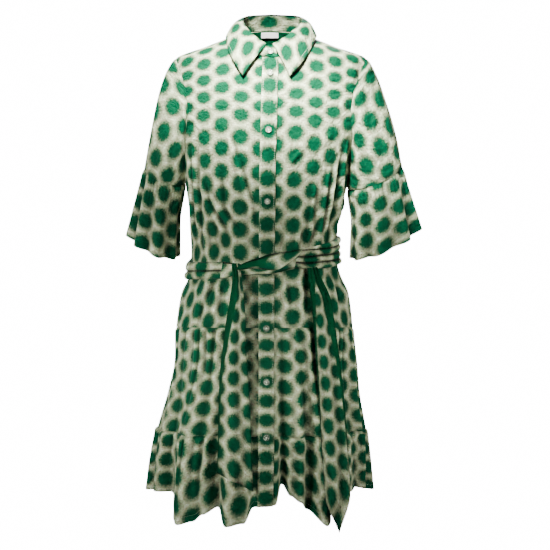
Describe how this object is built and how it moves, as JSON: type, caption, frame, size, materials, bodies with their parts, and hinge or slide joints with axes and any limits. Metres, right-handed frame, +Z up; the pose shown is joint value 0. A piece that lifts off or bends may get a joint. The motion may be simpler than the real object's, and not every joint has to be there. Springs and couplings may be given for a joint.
{
  "type": "mini shirt dress",
  "caption": "Worn-shape mini shirt dress with a pointed collar, buttoned placket, flounced elbow sleeves, tied sash, gathered tiered skirt and soft-edged dots.",
  "frame": {"origin": "middle of the neck's base, level with the neck ends of the shoulder seams, where the wearer's shoulders carry the dress", "axes": "+Z up along the body, -Y out of the front, +X towards the viewer's right, which is the wearer's left"},
  "size_m": [0.5408, 0.3577, 0.9182],
  "materials": {
    "dotted_cloth": "soft plain weave printed with green dots",
    "pearl_button": "polished pearl",
    "label_cloth": "white satin weave"
  },
  "bodies": {
    "root": {"back": "dotted_cloth", "button_1": "pearl_button", "button_2": "pearl_button", "button_3": "pearl_button", "button_4": "pearl_button", "button_5": "pearl_button", "button_6": "pearl_button", "button_7": "pearl_button", "button_stand": "pearl_button", "collar": "dotted_cloth", "collar_stand": "dotted_cloth", "flounce_left": "dotted_cloth", "flounce_right": "dotted_cloth", "front_left": "dotted_cloth", "front_right": "dotted_cloth", "neck_label": "label_cloth", "placket": "dotted_cloth", "ruffle_back": "dotted_cloth", "ruffle_front_left": "dotted_cloth", "ruffle_front_right": "dotted_cloth", "sash_band": "dotted_cloth", "sash_tail_left": "dotted_cloth", "sash_tail_right": "dotted_cloth", "sash_twist": "dotted_cloth", "skirt_back": "dotted_cloth", "skirt_front_left": "dotted_cloth", "skirt_front_right": "dotted_cloth", "sleeve_left": "dotted_cloth", "sleeve_right": "dotted_cloth"}
  },
  "joints": []
}
